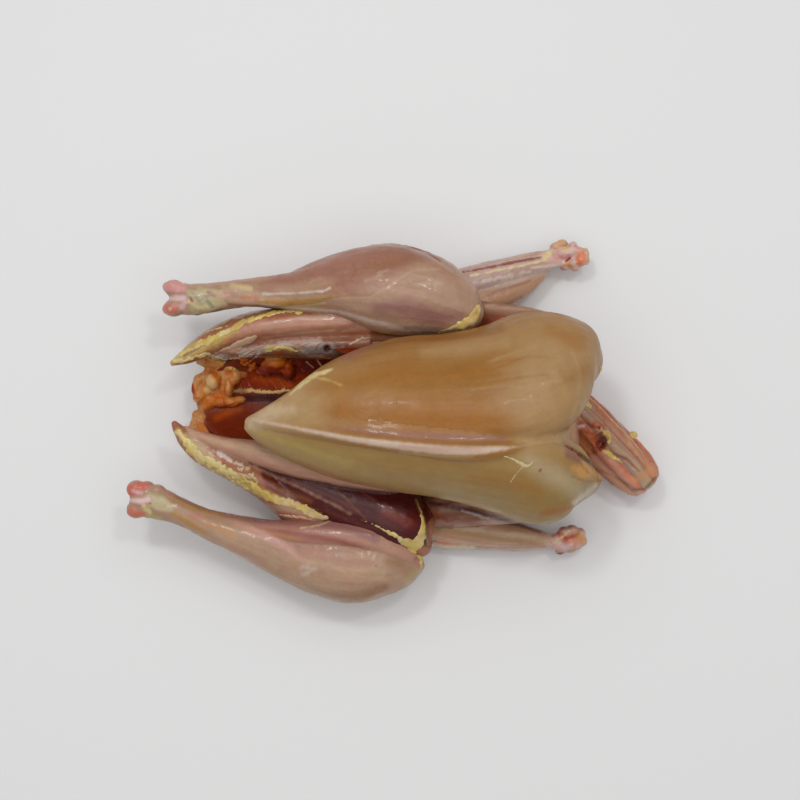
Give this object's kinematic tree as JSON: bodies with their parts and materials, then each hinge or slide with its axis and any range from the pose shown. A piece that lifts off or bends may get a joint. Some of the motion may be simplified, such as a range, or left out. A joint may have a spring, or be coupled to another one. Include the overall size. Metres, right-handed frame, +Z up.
{
  "type": "whole raw chicken",
  "caption": "Skinned, dressed raw chicken lying on its back, legs folded, wings tucked forward, body cavity open at the tail.",
  "frame": {"origin": "on the surface the bird lies on, under the middle of its box", "axes": "+X from the tail to the neck, +Y to the bird's right side, +Z up from its back to its breastbone"},
  "size_m": [0.23, 0.16, 0.086],
  "materials": {
    "flesh": "wet raw flesh, tan breast and pink legs, with yellow fat and silvery sheath under a thin gloss of juice"
  },
  "bodies": {
    "root": {"chicken": "flesh"}
  },
  "joints": []
}
